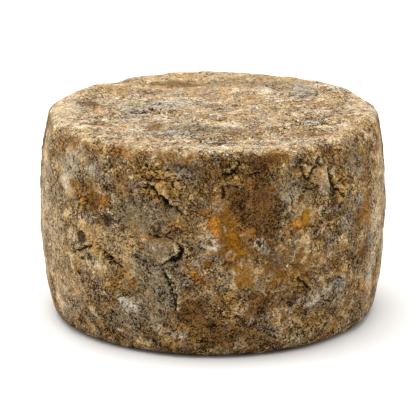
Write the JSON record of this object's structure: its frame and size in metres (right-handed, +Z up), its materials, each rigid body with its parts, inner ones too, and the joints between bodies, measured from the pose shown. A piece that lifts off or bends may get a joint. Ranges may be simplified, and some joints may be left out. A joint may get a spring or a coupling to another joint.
{
  "type": "cheese wheel",
  "caption": "Whole tall wheel of aged cheese with a thick, cracked and mould-bloomed natural rind, bulging sides and a slightly sunk top.",
  "frame": {"origin": "middle of the underside, on the shelf the wheel stands on", "axes": "+Z up along the wheel's axis from the flat underside to the top, -Y towards the front, +X to the right seen from the front"},
  "size_m": [0.2006, 0.1999, 0.1209],
  "materials": {
    "rind": "dry, matt, crusted natural rind with rust, ochre, white and grey blooms"
  },
  "bodies": {
    "root": {"cheese_wheel": "rind"}
  },
  "joints": []
}
